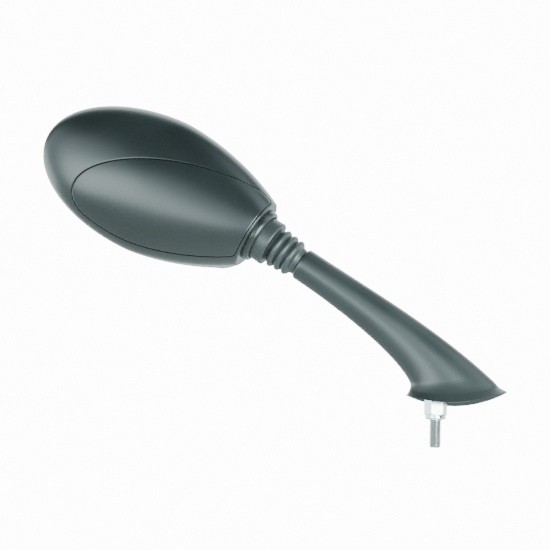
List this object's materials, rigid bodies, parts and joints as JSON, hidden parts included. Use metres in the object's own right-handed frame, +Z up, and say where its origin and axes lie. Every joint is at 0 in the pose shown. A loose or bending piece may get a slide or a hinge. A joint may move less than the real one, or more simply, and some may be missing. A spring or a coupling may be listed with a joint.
{
  "type": "motorcycle rear-view mirror",
  "caption": "Oval rear-view mirror on a tapering arm with a flared hollow foot, a threaded stud, a ribbed rubber boot and a head that turns and tilts on a ball.",
  "frame": {"origin": "on the stud's axis, in the face that clamps the bracket, the lower face of the spring washer", "axes": "+Z up along the stud, away from its thread; the arm and head reach towards -X and +Z; +Y is the side that the glass faces, towards the rider"},
  "size_m": [0.3167, 0.0514, 0.2266],
  "materials": {
    "black_plastic": "satin",
    "rubber": "matte",
    "plated_steel": "polished",
    "inner_steel": "satin",
    "brass": "satin",
    "liner_plastic": "matte",
    "inner_plastic": "matte",
    "foam": "matte",
    "mirror": "polished"
  },
  "bodies": {
    "arm": {"arm": "black_plastic", "foot_insert": "brass", "mount_stud": "plated_steel", "spring_washer": "plated_steel", "neck_rod": "inner_steel", "ball_nut": "inner_steel"},
    "ball": {"pivot_ball": "inner_steel"},
    "liner": {"cup_liner": "liner_plastic"},
    "head": {"ball_socket": "inner_plastic", "socket_clamp": "inner_plastic", "clamp_screw_1": "inner_steel", "clamp_screw_2": "inner_steel", "clamp_screw_3": "inner_steel", "disc_spring_1": "inner_steel", "disc_spring_2": "inner_steel", "disc_spring_3": "inner_steel", "bellows": "rubber", "collar_ring": "black_plastic", "housing": "black_plastic", "back_cover": "black_plastic", "cover_screw_1": "inner_steel", "cover_screw_2": "inner_steel", "glass_carrier": "inner_plastic", "glass_pad": "foam", "mirror_glass": "mirror"}
  },
  "joints": [
    {"name": "head_swivel", "type": "hinge", "parent": "arm", "child": "ball", "pos_m": [-0.129, 0, 0.126], "axis": [-0.8406, 0, 0.5417], "range_deg": [-20, 20], "deforming": ["bellows"]},
    {"name": "head_tilt", "type": "hinge", "parent": "ball", "child": "liner", "pos_m": [-0.129, 0, 0.126], "axis": [0, 1, 0], "range_deg": [-12, 12], "deforming": ["bellows"]},
    {"name": "head_turn", "type": "hinge", "parent": "liner", "child": "head", "pos_m": [-0.129, 0, 0.126], "axis": [0.5417, 0, 0.8406], "range_deg": [-12, 12], "deforming": ["bellows"]}
  ]
}
